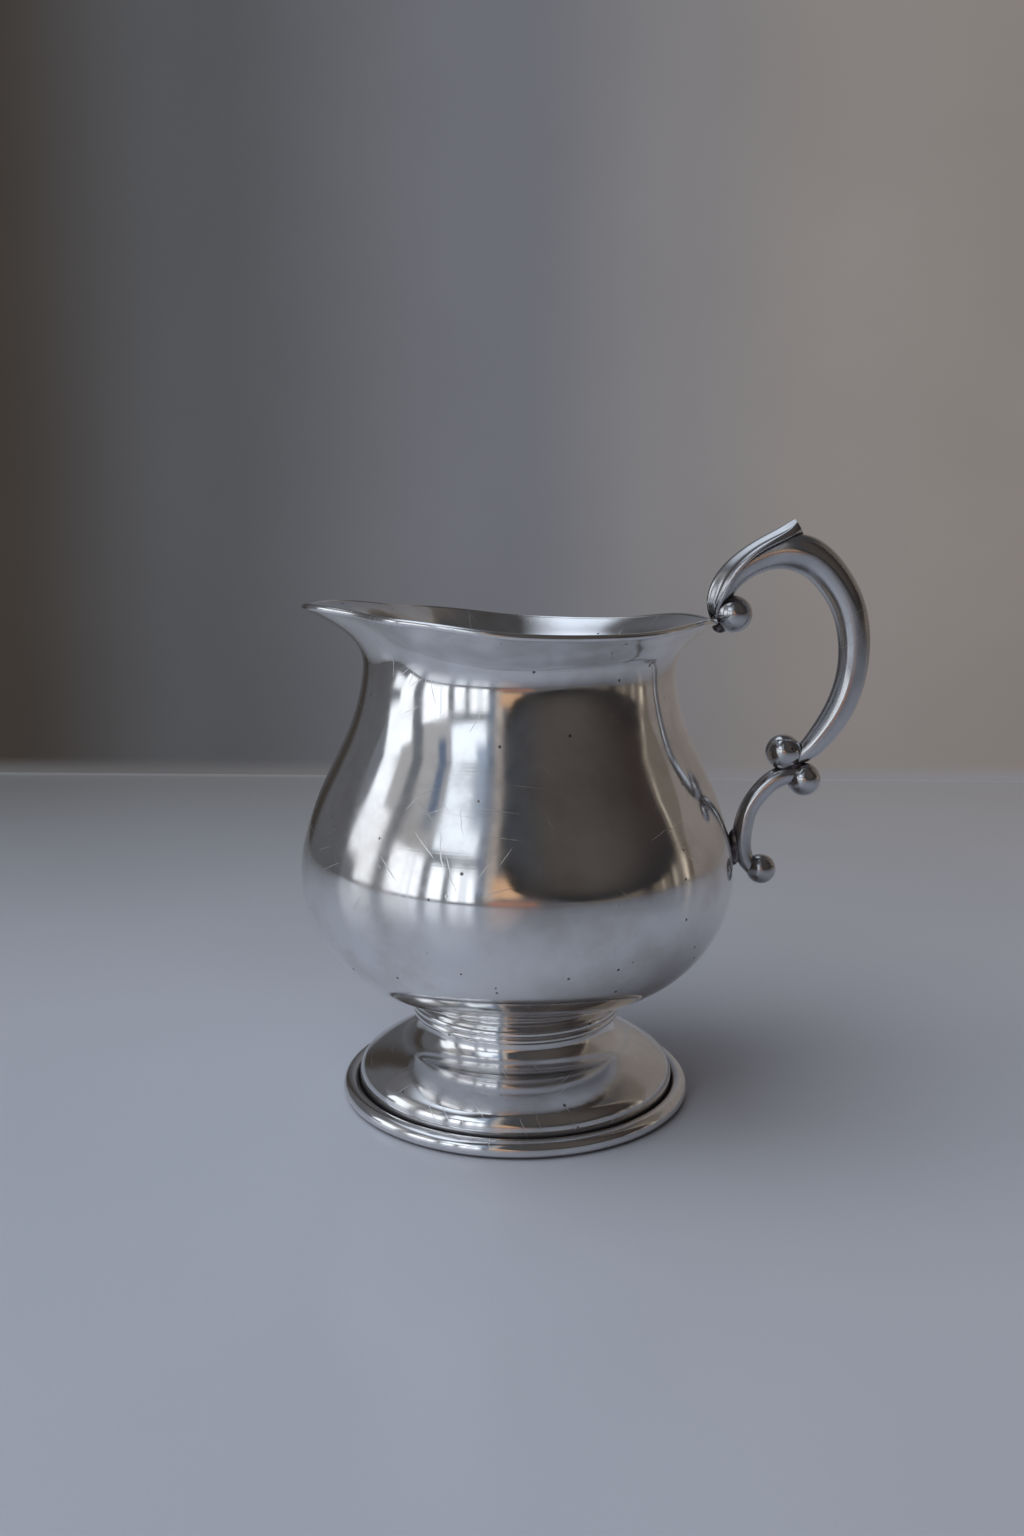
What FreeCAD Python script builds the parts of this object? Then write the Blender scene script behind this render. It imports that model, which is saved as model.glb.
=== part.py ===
"""Small footed cream jug in silver plate, as a parametric document.

Millimetres, +Z up. The origin is on the table, under the centre of the foot.
The spout points along -X and the handle along +X; the jug is the same on both sides of the XZ plane.
"""
import FreeCAD, Part
import Sketcher
import math
import os
import re

DIMENSIONS = {
    # bowl: outline arcs of the spun sheet, from the flat base up to the neck
    "wall": 0.9,
    "belly_radius": 37.5,
    "belly_height": 40.4,
    "belly_arc": 21.4,
    "shoulder_turn": 13.4,
    "shoulder_arc": 56.0,
    "neck_slope": 25.7,
    "neck_straight": 6.9,
    "neck_arc": 34.6,
    "mouth_slope": 9.0,
    # mouth: rim radius and height, with the spout's lip and its two notches
    "rim_mean": 34.5,
    "rim_shift": 1.5,
    "side_swell": 1.2,
    "notch_depth": 2.6,
    "rim_height": 83.0,
    "rim_rise": 1.6,
    "rim_wave": 1.3,
    "lip_rise": 0.45,
    "tip_drop": 1.2,
    "heel_rise": 0.7,
    "bead_radius": 0.55,
    "handle_flare_start": 7.0,
    "spout_flare_start": 5.0,
    "handle_flare_end": 4.5,
    "spout_flare_end": 11.2,
    "handle_flare_angle": 38.0,
    "spout_flare_angle": 24.4,
    # foot: collar under the bowl, reeded band, spun pedestal and rolled foot ring
    "collar_top_radius": 21.4,
    "collar_base_radius": 18.6,
    "collar_arc": 4.5,
    "collar_bore": 14.0,
    "band_top": 16.6,
    "band_mid": 15.3,
    "band_base": 14.0,
    "band_radius": 18.2,
    "band_base_radius": 17.4,
    "reed": 0.75,
    "neck_radius": 16.2,
    "neck_height": 12.6,
    "cavetto_arc": 4.4,
    "cavetto_radius": 20.4,
    "cavetto_height": 9.3,
    "dome_radius": 26.2,
    "dome_height": 6.2,
    "dome_arc": 22.0,
    "edge_radius": 27.8,
    "edge_height": 3.4,
    "edge_arc": 3.2,
    "edge_base": 1.2,
    "foot_radius": 30.7,
    "foot_tube": 1.5,
    "foot_tube_height": 1.4,
    # handle: the four balls, all centred on the XZ plane
    "volute_ball_x": 36.5,
    "volute_ball_z": 84.5,
    "volute_ball_radius": 3.2,
    "inner_ball_x": 45.95,
    "inner_ball_z": 60.9,
    "inner_ball_radius": 3.1,
    "outer_ball_x": 49.7,
    "outer_ball_z": 56.1,
    "outer_ball_radius": 2.9,
    "tail_ball_x": 42.85,
    "tail_ball_z": 40.1,
    "tail_ball_radius": 2.6,
    # handle: width of a scroll across the jug, as a share of its thickness
    "scroll_width_share": 1.04,
    # solder: fillets where the handle meets the bowl and the rim
    "body_solder_x": 38.0,
    "body_solder_z": 44.0,
    "body_solder_length": 6.6,
    "body_solder_width": 2.6,
    "rim_solder_x": 34.3,
    "rim_solder_z": 82.3,
    "rim_solder_length": 2.6,
    "rim_solder_width": 2.0,
    "scroll_solder_x": 47.7,
    "scroll_solder_z": 58.7,
    "scroll_solder_radius": 1.5,
}

# Centre line of each scroll in the XZ plane, from its first ball to its last: x, z and thickness there.
UPPER_SCROLL = [
    (35.2, 82.2, 1.2),
    (33.85, 84.4, 1.9),
    (34.35, 87.2, 3.0),
    (35.85, 90.2, 3.8),
    (39.2, 93.1, 4.5),
    (43.2, 94.75, 5.4),
    (47.4, 94.85, 6.5),
    (50.3, 93.45, 6.4),
    (53.0, 90.8, 6.1),
    (55.5, 86.9, 5.8),
    (57.2, 80.5, 5.4),
    (57.0, 74.2, 5.1),
    (55.1, 68.2, 4.9),
    (52.2, 63.6, 4.3),
    (49.4, 60.6, 3.2),
    (47.6, 59.4, 2.0),
]
LOWER_SCROLL = [
    (49.3, 56.9, 3.2),
    (46.9, 56.9, 3.5),
    (44.3, 55.8, 3.5),
    (42.0, 53.5, 3.4),
    (40.3, 50.7, 3.3),
    (39.5, 47.6, 3.4),
    (39.4, 44.6, 3.2),
    (40.1, 41.9, 2.9),
    (41.6, 39.9, 2.6),
]
# Crown line of the leaf in the XZ plane: x, z, full width across the jug, droop of its edges, thickness.
THUMB_LEAF = [
    (33.0, 82.9, 1.8, 0.5, 1.0),
    (32.0, 85.3, 3.4, 1.5, 1.2),
    (32.0, 88.0, 4.8, 2.2, 1.3),
    (33.3, 91.2, 5.8, 2.2, 1.4),
    (36.3, 94.5, 6.2, 1.7, 1.4),
    (40.2, 97.2, 6.2, 1.4, 1.5),
    (43.4, 98.9, 5.2, 1.4, 1.9),
    (45.2, 99.9, 3.6, 1.2, 2.4),
    (46.2, 100.5, 2.2, 0.8, 2.9),
]

RING_POINTS = 72
BEAD_POINTS = 12
SCROLL_POINTS = 12
JOIN_TOLERANCE = 0.001

doc = FreeCAD.newDocument("cream_jug")
sheet = doc.addObject("Spreadsheet::Sheet", "sizes")


def fill_sheet():
    """Write every driving dimension into the sheet, one row each, and name its cell."""
    sizes = dict(DIMENSIONS)
    for name, stations in (("upper", UPPER_SCROLL), ("lower", LOWER_SCROLL)):
        for number, (x, z, thickness) in enumerate(stations):
            sizes[f"{name}_x_{number}"] = x
            sizes[f"{name}_z_{number}"] = z
            sizes[f"{name}_thickness_{number}"] = thickness
    for number, (x, z, width, droop, thickness) in enumerate(THUMB_LEAF):
        sizes[f"leaf_x_{number}"] = x
        sizes[f"leaf_z_{number}"] = z
        sizes[f"leaf_width_{number}"] = width
        sizes[f"leaf_droop_{number}"] = droop
        sizes[f"leaf_thickness_{number}"] = thickness
    for row, (alias, value) in enumerate(sizes.items(), start=1):
        sheet.set(f"A{row}", alias)
        sheet.set(f"B{row}", str(value))
        sheet.setAlias(f"B{row}", alias)
    doc.recompute()
    return set(sizes)


ALIASES = fill_sheet()


def bound(text):
    """An expression in which each alias is written as a cell of the sheet."""
    def full(word):
        return "sizes." + word.group() if word.group() in ALIASES else word.group()
    return re.sub(r"[a-z_]+[a-z_0-9]*", full, text)


def size(text):
    """The value, as a plain number, of an expression in the sheet's aliases."""
    value = sheet.evalExpression(bound(text))
    return float(getattr(value, "Value", value))


# ---------------------------------------------------------------- turned pieces


def arc_centre(start, end, radius, side):
    """Centre of the short arc from start to end; side is 1 when the centre lies left of the way."""
    dx = end[0] - start[0]
    dz = end[1] - start[1]
    chord = math.hypot(dx, dz)
    reach = math.sqrt(max(radius**2 - chord**2 / 4, 0.0))
    middle_x = (start[0] + end[0]) / 2
    middle_z = (start[1] + end[1]) / 2
    return middle_x - side * reach * dz / chord, middle_z + side * reach * dx / chord


def add_arc(sketch, start, end, radius, side):
    """Add an arc to a sketch and say which of its ends is the first and which the last on the way."""
    x, z = arc_centre(start, end, radius, side)
    circle = Part.Circle(FreeCAD.Vector(x, z, 0), FreeCAD.Vector(0, 0, 1), radius)
    first = math.atan2(start[1] - z, start[0] - x)
    last = math.atan2(end[1] - z, end[0] - x)
    if side > 0:
        sketch.addGeometry(Part.ArcOfCircle(circle, first, last), False)
        return 1, 2
    sketch.addGeometry(Part.ArcOfCircle(circle, last, first), False)
    return 2, 1


def turned_body(label, corners):
    """A body turned about Z from a closed outline on its own XZ plane.

    corners holds (x, z, edge) for each corner in order: x and z are expressions in the sheet's aliases,
    and edge says how the outline runs on to the next corner: None for a straight line, or (radius
    expression, side) for an arc, with side 1 when the arc's centre lies to the left of the way.
    """
    body = doc.addObject("PartDesign::Body", label)
    body.Label = label
    sketch = body.newObject("Sketcher::SketchObject", label + "_outline")
    plane = next(f for f in body.Origin.OriginFeatures if f.Role == "XZ_Plane")
    sketch.AttachmentSupport = [(plane, "")]
    sketch.MapMode = "FlatFace"
    places = [(size(x), size(z)) for x, z, edge in corners]
    ends = []
    for i, (x, z, edge) in enumerate(corners):
        start = places[i]
        end = places[(i + 1) % len(corners)]
        if edge is None:
            line = Part.LineSegment(FreeCAD.Vector(*start, 0), FreeCAD.Vector(*end, 0))
            sketch.addGeometry(line, False)
            ends.append((1, 2))
        else:
            ends.append(add_arc(sketch, start, end, size(edge[0]), edge[1]))
    for i, (x, z, edge) in enumerate(corners):
        following = (i + 1) % len(corners)
        sketch.addConstraint(Sketcher.Constraint("Coincident", i, ends[i][1], following, ends[following][0]))
        if edge is not None:
            radius = sketch.addConstraint(Sketcher.Constraint("Radius", i, size(edge[0])))
            sketch.setExpression(f"Constraints[{radius}]", bound(edge[0]))
        for kind, text in (("DistanceX", x), ("DistanceY", z)):
            place = sketch.addConstraint(Sketcher.Constraint(kind, -1, 1, i, ends[i][0], size(text)))
            sketch.setExpression(f"Constraints[{place}]", bound(text))
    turn = body.newObject("PartDesign::Revolution", label + "_turn")
    turn.Profile = sketch
    turn.ReferenceAxis = (sketch, ["V_Axis"])
    turn.Angle = 360.0
    sketch.Visibility = False
    doc.recompute()
    return body


def bowl_body():
    """The spun bowl below the mouth, one even sheet from the flat base to the foot of the mouth.

    Returns the body, with the outer and inner radius and the height of the edge that the mouth grows from.
    """
    def arc_end(centre, radius, turn, way):
        """The end of an arc: its centre plus its radius along a direction turned up from the horizontal."""
        return (f"{centre[0]} {way} ({radius}) * cos({turn} * 1deg)",
                f"{centre[1]} {way} ({radius}) * sin({turn} * 1deg)")
    base = "belly_height - belly_arc"
    belly_centre = ("belly_radius - belly_arc", "belly_height")
    shoulder = arc_end(belly_centre, "belly_arc", "shoulder_turn", "+")
    shoulder_centre = arc_end(shoulder, "shoulder_arc", "shoulder_turn", "-")
    slope_start = arc_end(shoulder_centre, "shoulder_arc", "neck_slope", "+")
    slope_end = (f"{slope_start[0]} - neck_straight * sin(neck_slope * 1deg)",
                 f"{slope_start[1]} + neck_straight * cos(neck_slope * 1deg)")
    neck_centre = arc_end(slope_end, "neck_arc", "neck_slope", "+")
    join = arc_end(neck_centre, "neck_arc", "mouth_slope", "-")
    inner_join_x = f"{neck_centre[0]} - sqrt((neck_arc + wall)^2 - (neck_arc * sin(mouth_slope * 1deg))^2)"
    body = turned_body("bowl_wall", [
        ("0", base, None),
        ("belly_radius - belly_arc", base, ("belly_arc", 1)),
        (*shoulder, ("shoulder_arc", 1)),
        (*slope_start, None),
        (*slope_end, ("neck_arc", -1)),
        (*join, None),
        (inner_join_x, join[1], ("neck_arc + wall", 1)),
        (*arc_end(neck_centre, "neck_arc + wall", "neck_slope", "-"), None),
        (*arc_end(shoulder_centre, "shoulder_arc - wall", "neck_slope", "+"), ("shoulder_arc - wall", -1)),
        (*arc_end(belly_centre, "belly_arc - wall", "shoulder_turn", "+"), ("belly_arc - wall", -1)),
        ("belly_radius - belly_arc", f"{base} + wall", None),
        ("0", f"{base} + wall", None),
    ])
    return body, size(join[0]), size(inner_join_x), size(join[1])


# ---------------------------------------------------------------- mouth and rim bead


def swell(angle, middle, reach):
    """A smooth rise from 0 to 1 and back, centred on middle, for an angle from the handle in degrees."""
    away = abs(angle - middle)
    return math.cos(math.pi * away / (2 * reach))**2 if away < reach else 0.0


def rim_place(angle):
    """Radius and height of the rim's outer edge at an angle in degrees from the handle, 0 to 180."""
    turn = math.radians(angle)
    radius = size("rim_mean") - size("rim_shift") * math.cos(turn)
    radius += size("side_swell") * swell(angle, 95, 35)
    radius -= size("notch_depth") * swell(angle, 139, 20)
    height = size("rim_height") - size("rim_rise") * math.cos(turn) + size("rim_wave") * math.cos(2 * turn)
    height += size("lip_rise") * (swell(angle, 112, 24) + swell(angle, 158, 24))
    height += size("heel_rise") * swell(angle, 30, 30) - size("tip_drop") * swell(angle, 180, 60)
    return radius, height


def flare(angle, join_x, join_z, offset):
    """Four control points, as (radius, height), of the mouth's wall at one angle from the handle.

    offset is 0 on the outer face and the wall's thickness on the inner one.
    """
    to_spout = (1 - math.cos(math.radians(angle))) / 2

    def between(name):
        """A size that goes smoothly from its value at the handle to its value at the spout."""
        return size("handle_" + name) + to_spout * (size("spout_" + name) - size("handle_" + name))
    lean = math.radians(between("flare_angle"))
    slope = math.radians(size("mouth_slope"))
    start = between("flare_start")
    end = between("flare_end")
    radius, height = rim_place(angle)
    rim_x = radius - offset * math.sin(lean)
    rim_z = height + offset * math.cos(lean)
    return [
        (join_x, join_z),
        (join_x - start * math.sin(slope), join_z + start * math.cos(slope)),
        (rim_x - end * math.cos(lean), rim_z - end * math.sin(lean)),
        (rim_x, rim_z),
    ]


def smooth_poles(points):
    """Poles of a closed, even cubic spline that passes through the points, to fourth order."""
    count = len(points)
    poles = []
    for i, point in enumerate(points):
        bend = points[(i + 1) % count] + points[i - 1] - point * 2
        poles.append(point - bend * (1 / 6))
    return poles


def around(place):
    """The closed ring of poles through place(angle) = (radius, height), mirrored about the XZ plane."""
    ring = []
    for i in range(RING_POINTS):
        angle = 360.0 * i / RING_POINTS
        radius, height = place(min(angle, 360.0 - angle))
        turn = math.radians(angle)
        ring.append(FreeCAD.Vector(radius * math.cos(turn), radius * math.sin(turn), height))
    return smooth_poles(ring)


def closed_rings(rings, across_closed):
    """The face through several rings of poles, cubic both ways, closed along the rings."""
    across = len(rings)
    surface = Part.BSplineSurface()
    poles = [[ring[i] for ring in rings] for i in range(RING_POINTS)]
    knots = list(range(RING_POINTS + 1))
    if across_closed:
        across_knots = list(range(across + 1))
        across_mults = [1] * (across + 1)
    else:
        across_knots = [0, 1]
        across_mults = [4, 4]
    surface.buildFromPolesMultsKnots(
        poles, [1] * (RING_POINTS + 1), across_mults, knots, across_knots, True, across_closed, 3, 3)
    return surface.toShape()


def rings_between(outer, inner):
    """Four rings that join two rings by straight lines."""
    rings = []
    for share in (0.0, 1 / 3, 2 / 3, 1.0):
        rings.append([a + (b - a) * share for a, b in zip(outer, inner)])
    return rings


def mouth_shape(join_x, inner_x, join_z):
    """The flared mouth as one closed solid of sheet, from the top of the bowl to the wavy rim."""
    def rings(x, offset):
        return [around(lambda angle, k=k: flare(angle, x, join_z, offset)[k]) for k in range(4)]
    outer = rings(join_x, 0.0)
    inner = rings(inner_x, size("wall"))
    faces = [
        closed_rings(outer, False),
        closed_rings(inner, False),
        closed_rings(rings_between(outer[3], inner[3]), False),
        closed_rings(rings_between(outer[0], inner[0]), False),
    ]
    shell = Part.makeShell(faces)
    shell.sewShape()
    solid = Part.makeSolid(Part.Shell(shell.Faces))
    if solid.Volume < 0:
        solid.reverse()
    return solid


def bead_shape():
    """The rounded bead along the rim, a closed ring whose centre runs just outside the sheet's edge."""
    bead = size("bead_radius")
    half_wall = size("wall") / 2
    stand_off = math.sqrt(bead**2 - half_wall**2)

    def place(angle, around_bead):
        """One point of the bead's skin: an angle from the handle, then an angle round the bead."""
        to_spout = (1 - math.cos(math.radians(angle))) / 2
        handle_lean = size("handle_flare_angle")
        lean = math.radians(handle_lean + to_spout * (size("spout_flare_angle") - handle_lean))
        radius, height = rim_place(angle)
        along = stand_off + bead * math.cos(around_bead)
        over = half_wall + bead * math.sin(around_bead)
        return (radius + along * math.cos(lean) - over * math.sin(lean),
                height + along * math.sin(lean) + over * math.cos(lean))
    rings = []
    for step in range(BEAD_POINTS):
        around_bead = 2 * math.pi * step / BEAD_POINTS
        rings.append(around(lambda angle: place(angle, around_bead)))
    columns = [smooth_poles([ring[i] for ring in rings]) for i in range(RING_POINTS)]
    rings = [[column[step] for column in columns] for step in range(BEAD_POINTS)]
    solid = Part.makeSolid(Part.makeShell([closed_rings(rings, True)]))
    if solid.Volume < 0:
        solid.reverse()
    return solid


# ---------------------------------------------------------------- foot


def foot_bodies():
    """Collar, reeded band, pedestal and ring of the foot, from the bowl down to the table."""
    under_bowl = "belly_height - sqrt(belly_arc^2 - (collar_top_radius - belly_radius + belly_arc)^2)"
    collar = turned_body("foot_collar", [
        ("collar_bore", "band_top", None),
        ("collar_base_radius", "band_top", ("collar_arc", -1)),
        ("collar_top_radius", under_bowl, ("belly_arc", -1)),
        ("belly_radius - belly_arc", "belly_height - belly_arc", None),
        ("collar_bore", "belly_height - belly_arc", None),
    ])
    band = turned_body("neck_band", [
        ("collar_bore", "band_base", None),
        ("band_base_radius", "band_base", ("reed", 1)),
        ("band_radius - reed / 4", "band_mid", ("reed", 1)),
        ("band_radius", "band_top", None),
        ("collar_bore", "band_top", None),
    ])
    pedestal = turned_body("foot_pedestal", [
        ("neck_radius - wall", "band_base", None),
        ("neck_radius - wall", "neck_height", ("cavetto_arc + wall", 1)),
        ("cavetto_radius - wall / 2", "cavetto_height - wall", ("dome_arc", -1)),
        ("dome_radius - wall / 2", "dome_height - wall", ("edge_arc - wall", -1)),
        ("edge_radius - wall", "edge_height", None),
        ("edge_radius - wall", "edge_base", None),
        ("edge_radius", "edge_base", None),
        ("edge_radius", "edge_height", ("edge_arc", 1)),
        ("dome_radius", "dome_height", ("dome_arc", 1)),
        ("cavetto_radius", "cavetto_height", ("cavetto_arc", -1)),
        ("neck_radius", "neck_height", None),
        ("neck_radius", "band_base", None),
    ])
    half_flat = "sqrt(foot_tube^2 - foot_tube_height^2)"
    ring = turned_body("foot_ring", [
        (f"foot_radius - foot_tube - {half_flat}", "0", None),
        (f"foot_radius - foot_tube + {half_flat}", "0", ("foot_tube", 1)),
        ("foot_radius", "foot_tube_height", ("foot_tube", 1)),
        ("foot_radius - foot_tube", "foot_tube_height + foot_tube", ("foot_tube", 1)),
        ("foot_radius - 2 * foot_tube", "foot_tube_height", ("foot_tube", 1)),
    ])
    return collar, band, pedestal, ring


# ---------------------------------------------------------------- handle


def ball(label, name):
    """One of the handle's balls, centred on the XZ plane."""
    sphere = doc.addObject("Part::Sphere", label)
    sphere.Label = label
    sphere.setExpression("Radius", bound(f"{name}_radius"))
    sphere.setExpression("Placement.Base.x", bound(f"{name}_x"))
    sphere.setExpression("Placement.Base.z", bound(f"{name}_z"))
    return sphere


def sheet_solid(label, shape):
    """A document object that holds a shape made from the sheet's sizes."""
    feature = doc.addObject("Part::Feature", label)
    feature.Label = label
    feature.Shape = shape
    return feature


def directions(line):
    """Unit directions in the XZ plane at each point of a line of (x, z) points."""
    ways = []
    for i in range(len(line)):
        x0, z0 = line[max(i - 1, 0)]
        x1, z1 = line[min(i + 1, len(line) - 1)]
        reach = math.hypot(x1 - x0, z1 - z0)
        ways.append(((x1 - x0) / reach, (z1 - z0) / reach))
    return ways


def closed_curve(points):
    """A closed smooth wire through the points."""
    curve = Part.BSplineCurve()
    curve.interpolate(Points=points, PeriodicFlag=True)
    return Part.Wire([curve.toShape()])


def scroll_shape(name, stations):
    """A round bar bent to a scroll in the XZ plane, its thickness changing along its centre line."""
    line = [(size(f"{name}_x_{i}"), size(f"{name}_z_{i}")) for i in range(len(stations))]
    sections = []
    for i, (way_x, way_z) in enumerate(directions(line)):
        thick = size(f"{name}_thickness_{i}") / 2
        wide = thick * size("scroll_width_share")
        points = []
        for step in range(SCROLL_POINTS):
            turn = 2 * math.pi * step / SCROLL_POINTS
            out = thick * math.cos(turn)
            across = wide * math.sin(turn)
            points.append(FreeCAD.Vector(line[i][0] - way_z * out, across, line[i][1] + way_x * out))
        sections.append(closed_curve(points))
    return Part.makeLoft(sections, True, False, False)


def leaf_shape():
    """The thumb leaf: a ridged strip with raised edges along the upper scroll's back, lifting to a point."""
    count = len(THUMB_LEAF)
    line = [(size(f"leaf_x_{i}"), size(f"leaf_z_{i}")) for i in range(count)]
    sections = []
    for i, (way_x, way_z) in enumerate(directions(line)):
        half = size(f"leaf_width_{i}") / 2
        droop = size(f"leaf_droop_{i}")
        thick = size(f"leaf_thickness_{i}")

        def at(across, below):
            """A point of the section: across the jug, and below the crown towards the scroll."""
            return FreeCAD.Vector(line[i][0] + way_z * below, across, line[i][1] - way_x * below)
        side = [
            (0.26 * half, 0.14 * droop),
            (0.6 * half, 0.62 * droop),
            (0.86 * half, 0.74 * droop),
            (half, droop + 0.2 * thick),
            (0.82 * half, droop + 0.5 * thick),
        ]
        points = [at(0, 0)]
        points += [at(across, below) for across, below in side]
        points.append(at(0, thick + 0.3 * droop))
        points += [at(-across, below) for across, below in reversed(side)]
        sections.append(closed_curve(points))
    return Part.makeLoft(sections, True, False, False)


def pad(label, name, radii):
    """A rounded blob of solder on the XZ plane; radii are expressions along X, Y and Z."""
    blob = doc.addObject("Part::Ellipsoid", label + "_blob")
    for axis, text in zip(("Radius2", "Radius3", "Radius1"), radii):
        blob.setExpression(axis, bound(text))
    blob.setExpression("Placement.Base.x", bound(f"{name}_x"))
    blob.setExpression("Placement.Base.z", bound(f"{name}_z"))
    return blob


def trimmed(label, piece, neighbours):
    """The piece cut back to the faces of its neighbours, so that they meet without overlapping."""
    for number, neighbour in enumerate(neighbours):
        cut = doc.addObject("Part::Cut", f"{label}_cut_{number}")
        cut.Refine = False
        cut.Base = piece
        cut.Tool = neighbour
        piece = cut
    piece.Label = label
    return piece


# ---------------------------------------------------------------- the jug


def build():
    """Make every piece and return the objects that are the jug's nodes."""
    bowl, join_x, inner_join_x, join_z = bowl_body()
    mouth = mouth_shape(join_x, inner_join_x, join_z)
    shell = sheet_solid("body_shell", bowl.Shape.fuse((mouth,), JOIN_TOLERANCE).Solids[0])
    bead = sheet_solid("rim_bead", bead_shape())
    collar, band, pedestal, ring = foot_bodies()
    volute = ball("volute_ball", "volute_ball")
    inner = ball("upper_tail_ball", "inner_ball")
    outer = ball("lower_head_ball", "outer_ball")
    tail = ball("lower_tail_ball", "tail_ball")
    upper_bar = sheet_solid("upper_bar", scroll_shape("upper", UPPER_SCROLL))
    lower_bar = sheet_solid("lower_bar", scroll_shape("lower", LOWER_SCROLL))
    leaf_blank = sheet_solid("leaf_blank", leaf_shape())
    upper = trimmed("upper_scroll", upper_bar, [volute, inner, outer])
    lower = trimmed("lower_scroll", lower_bar, [inner, outer, tail, upper_bar])
    leaf = trimmed("thumb_leaf", leaf_blank, [upper_bar, volute])
    body_pad = trimmed("body_solder", pad("body_solder", "body_solder", (
        "body_solder_width / 2", "body_solder_width / 2", "body_solder_length / 2")), [shell, lower_bar])
    rim_pad = trimmed("rim_solder", pad("rim_solder", "rim_solder", (
        "rim_solder_length / 2", "rim_solder_width / 2", "rim_solder_width / 2")),
        [bead, shell, upper_bar, volute, leaf_blank])
    scroll_pad = trimmed("scroll_solder", pad("scroll_solder", "scroll_solder", (
        "scroll_solder_radius", "scroll_solder_radius", "scroll_solder_radius")),
        [inner, outer, upper_bar, lower_bar])
    doc.recompute()
    return [shell, bead, collar, band, pedestal, ring, upper, leaf, volute, inner,
            lower, outer, tail, body_pad, rim_pad, scroll_pad]


def check(pieces):
    """Stop if any object of the document failed or any piece is not a sound solid."""
    for thing in doc.Objects:
        if {"Invalid", "Error"} & set(thing.State):
            raise RuntimeError(f"{thing.Label} failed: {thing.State}")
    for piece in pieces:
        shape = piece.Shape
        if shape.isNull() or not shape.isValid() or not shape.Solids:
            raise RuntimeError(f"{piece.Label} is not a sound solid")
        print(f"{piece.Label:18s} {len(shape.Solids)} solid, {shape.Volume:9.1f} mm3")


def write(pieces):
    """Write one STEP file for each piece, named after it."""
    os.makedirs("parts", exist_ok=True)
    for piece in pieces:
        piece.Shape.exportStep(f"parts/{piece.Label}.step")


jug = build()
check(jug)
write(jug)
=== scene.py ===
"""Looks of a small footed cream jug in worn silver plate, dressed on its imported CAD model.

Metres, +Z up, in the CAD frame: the origin is on the table under the centre of the foot, the spout points
along -X and the handle along +X. The jug is the same on both sides of the XZ plane. Outlines are written in
millimetres and turned into metres where a mesh is made.
"""
import logging
import math
from collections.abc import Sequence
from dataclasses import dataclass, field
from enum import Enum

import bpy
import numpy as np
from mathutils import Matrix, Vector


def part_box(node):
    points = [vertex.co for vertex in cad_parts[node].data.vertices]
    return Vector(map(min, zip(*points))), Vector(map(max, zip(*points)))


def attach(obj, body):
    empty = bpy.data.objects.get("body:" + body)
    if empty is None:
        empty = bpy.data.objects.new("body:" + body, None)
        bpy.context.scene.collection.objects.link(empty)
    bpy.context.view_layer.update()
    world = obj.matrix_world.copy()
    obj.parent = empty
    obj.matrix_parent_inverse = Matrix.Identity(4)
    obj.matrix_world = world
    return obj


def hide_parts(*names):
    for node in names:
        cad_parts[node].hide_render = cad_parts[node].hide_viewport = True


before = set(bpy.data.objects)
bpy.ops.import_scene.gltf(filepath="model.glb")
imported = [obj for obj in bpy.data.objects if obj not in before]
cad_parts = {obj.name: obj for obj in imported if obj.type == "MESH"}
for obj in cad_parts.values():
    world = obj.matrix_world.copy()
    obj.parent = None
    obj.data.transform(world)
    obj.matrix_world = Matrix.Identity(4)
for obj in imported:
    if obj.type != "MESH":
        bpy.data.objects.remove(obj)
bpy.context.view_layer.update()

BODY = "root"
MM = 0.001
log = logging.getLogger("cream_jug")

Triple = tuple[float, float, float]
Colour = Triple
Station = tuple[float, ...]
Socket = bpy.types.NodeSocket
Corner = tuple[float, float, "tuple[float, int] | None"]


class Slot(Enum):
    """Material slots of the record, one for each finish."""

    POLISHED = "polished_plate"
    CAST = "cast_plate"
    SOLDER = "solder"


# ---------------------------------------------------------------- shapes


def node_box(node: str) -> tuple[np.ndarray, np.ndarray]:
    """Middle and half size of a CAD node, in millimetres.

    Args:
        node: Name of the CAD node.

    Returns:
        The middle of its box and half of its size along X, Y and Z.
    """
    low, high = (np.array(corner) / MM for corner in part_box(node))
    return (low + high) / 2, (high - low) / 2


def arc(start: Sequence[float], end: Sequence[float], radius: float, side: int, step: float) -> np.ndarray:
    """Points along the short arc between two points, without its last point.

    Args:
        start: First point, (radius, height).
        end: Last point.
        radius: Radius of the arc.
        side: 1 when the centre lies left of the way from start to end, and -1 when it lies right.
        step: Largest distance between two points.

    Returns:
        The points, one to a row.
    """
    start, end = np.array(start), np.array(end)
    way = end - start
    chord = np.linalg.norm(way)
    reach = math.sqrt(max(radius**2 - chord**2 / 4, 0.0))
    centre = (start + end) / 2 + side * reach * np.array([-way[1], way[0]]) / chord
    first = math.atan2(*(start - centre)[::-1])
    turn = 2 * math.asin(min(1.0, chord / 2 / radius)) * side
    count = max(2, math.ceil(abs(turn) * radius / step))
    angles = first + turn * np.arange(count) / count
    return centre + radius * np.stack([np.cos(angles), np.sin(angles)], axis=1)


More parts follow.
